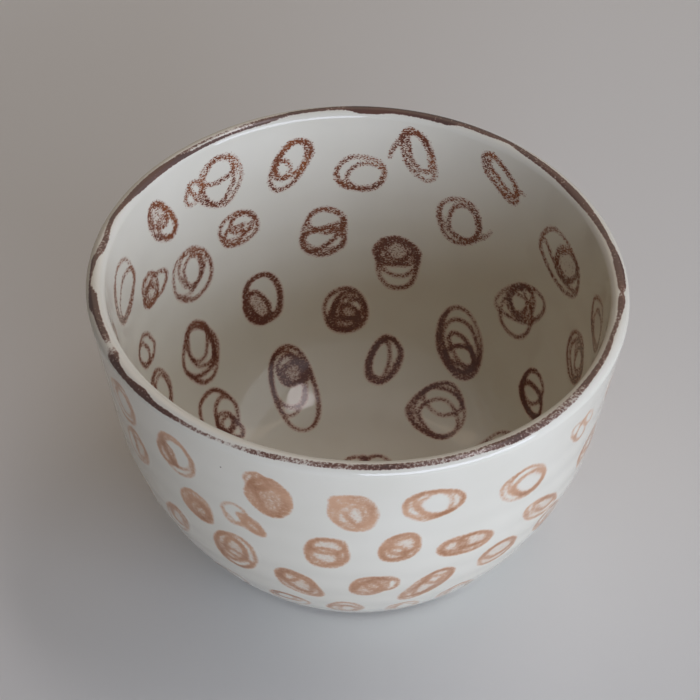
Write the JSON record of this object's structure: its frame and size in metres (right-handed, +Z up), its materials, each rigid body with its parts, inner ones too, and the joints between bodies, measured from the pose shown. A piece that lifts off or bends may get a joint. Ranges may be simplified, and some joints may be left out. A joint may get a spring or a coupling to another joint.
{
  "type": "stoneware cup",
  "caption": "Handleless rounded stoneware drinking cup on a low foot ring, white glazed inside and out, with a dark oxide line on the lip and drawn oxide rings on its walls.",
  "frame": {"origin": "on the standing plane, under the centre of the foot ring", "axes": "+Z up along the cup's axis of revolution; the rings start from +X"},
  "size_m": [0.09, 0.09, 0.058],
  "materials": {
    "bare_stoneware": "matt, fired bare",
    "white_glaze": "glossy cream white",
    "dark_oxide": "grainy red-brown, fired onto the glaze",
    "tan_oxide": "soft orange tan, fired onto the glaze"
  },
  "bodies": {
    "root": {"stoneware_body": "bare_stoneware", "inner_glaze": "white_glaze", "outer_glaze": "white_glaze", "rim_oxide_band": "dark_oxide", "inner_oxide_rings": "dark_oxide", "outer_oxide_rings": "tan_oxide"}
  },
  "joints": []
}
